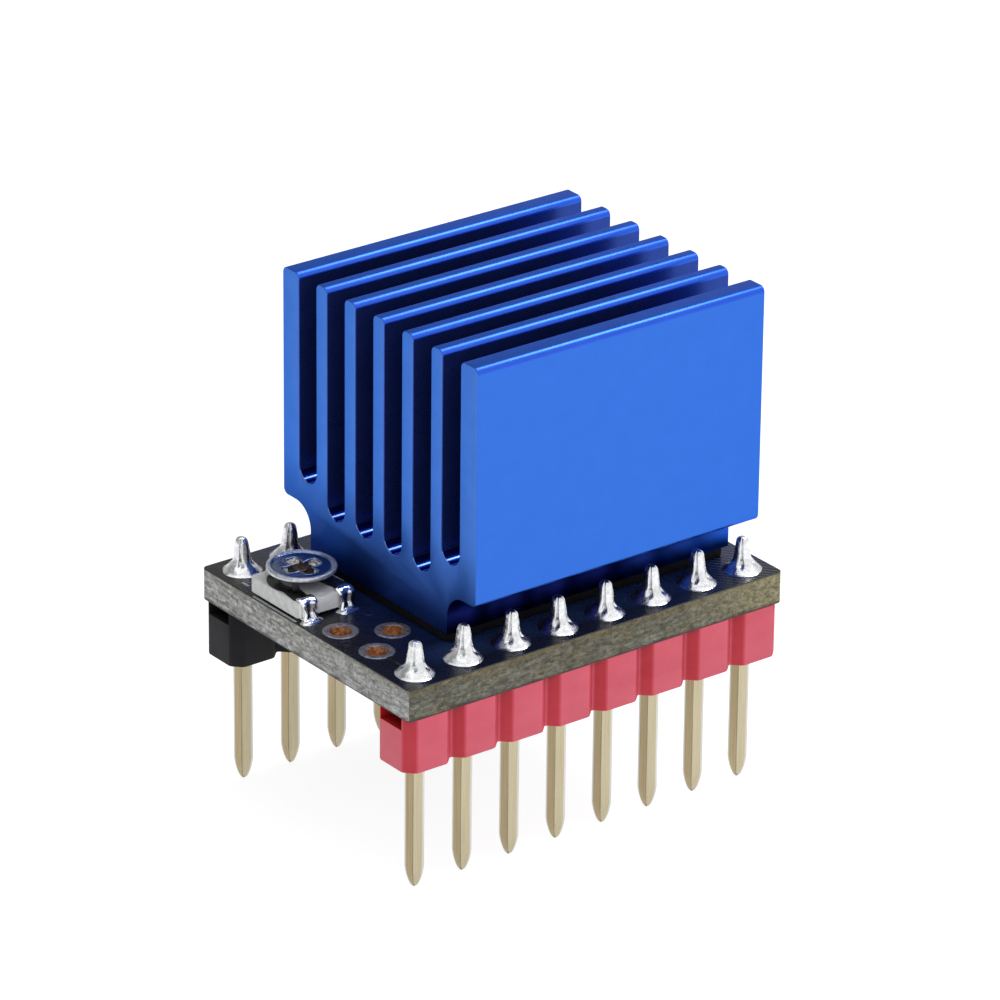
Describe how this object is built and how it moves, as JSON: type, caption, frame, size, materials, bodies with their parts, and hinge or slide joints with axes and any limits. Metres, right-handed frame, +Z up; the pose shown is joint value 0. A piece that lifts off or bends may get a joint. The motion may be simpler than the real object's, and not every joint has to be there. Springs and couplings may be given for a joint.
{
  "type": "stepper driver module",
  "caption": "Small plug-in motor driver board with two rows of square pins, a finned heat sink on top and a trimming potentiometer that sets the coil current.",
  "frame": {"origin": "under the board's centre, level with the tips of the pins", "axes": "+X along the pin rows, away from the trimming potentiometer; +Y from the red row to the black row; +Z up, from the pins to the fins"},
  "size_m": [0.0204, 0.0152, 0.0236],
  "materials": {
    "board_mask": "black solder mask over glass-fibre laminate",
    "red_insulator": "moulded, slightly shiny",
    "black_insulator": "moulded, slightly shiny",
    "pin_plating": "pale gold flash plating, satin",
    "solder": "bright, wetted",
    "copper": "bare copper",
    "adhesive_pad": "matt",
    "blue_anodising": "blue anodised, satin",
    "ceramic_body": "unglazed white",
    "resistive_film": "printed black film",
    "tinned_sheet": "tin plated",
    "rivet_brass": "satin",
    "rotor_metal": "polished nickel plate",
    "chip_resin": "moulded resin",
    "capacitor_ceramic": "matt with tinned ends",
    "resistor_body": "black glazed with tinned ends"
  },
  "bodies": {
    "module": {"circuit_board": "board_mask", "front_header_body": "red_insulator", "rear_header_body": "black_insulator", "front_pin_1": "pin_plating", "front_pin_2": "pin_plating", "front_pin_3": "pin_plating", "front_pin_4": "pin_plating", "front_pin_5": "pin_plating", "front_pin_6": "pin_plating", "front_pin_7": "pin_plating", "front_pin_8": "pin_plating", "rear_pin_1": "pin_plating", "rear_pin_2": "pin_plating", "rear_pin_3": "pin_plating", "rear_pin_4": "pin_plating", "rear_pin_5": "pin_plating", "rear_pin_6": "pin_plating", "rear_pin_7": "pin_plating", "rear_pin_8": "pin_plating", "front_solder_1": "solder", "front_solder_2": "solder", "front_solder_3": "solder", "front_solder_4": "solder", "front_solder_5": "solder", "front_solder_6": "solder", "front_solder_7": "solder", "front_solder_8": "solder", "rear_solder_1": "solder", "rear_solder_2": "solder", "rear_solder_3": "solder", "rear_solder_4": "solder", "rear_solder_5": "solder", "rear_solder_6": "solder", "rear_solder_7": "solder", "rear_solder_8": "solder", "test_pad_1": "copper", "test_pad_2": "copper", "test_pad_3": "copper", "thermal_pad": "adhesive_pad", "heatsink": "blue_anodising", "trimmer_base": "ceramic_body", "trimmer_track": "resistive_film", "trimmer_terminal_1": "tinned_sheet", "trimmer_terminal_2": "tinned_sheet", "trimmer_wiper_terminal": "tinned_sheet", "trimmer_rivet": "rivet_brass", "driver_chip": "chip_resin", "sense_resistor_1": "resistor_body", "sense_resistor_2": "resistor_body", "supply_capacitor_1": "capacitor_ceramic", "supply_capacitor_2": "capacitor_ceramic", "charge_pump_capacitor": "capacitor_ceramic", "regulator_capacitor": "capacitor_ceramic", "pull_resistor_1": "resistor_body", "pull_resistor_2": "resistor_body"},
    "rotor": {"trimmer_rotor": "rotor_metal", "trimmer_wiper": "rivet_brass"}
  },
  "joints": [
    {"name": "trimmer_turn", "type": "hinge", "parent": "module", "child": "rotor", "pos_m": [-0.00845, 0.0025, 0.01154], "axis": [0, 0, 1], "range_deg": [-85, 175]}
  ]
}
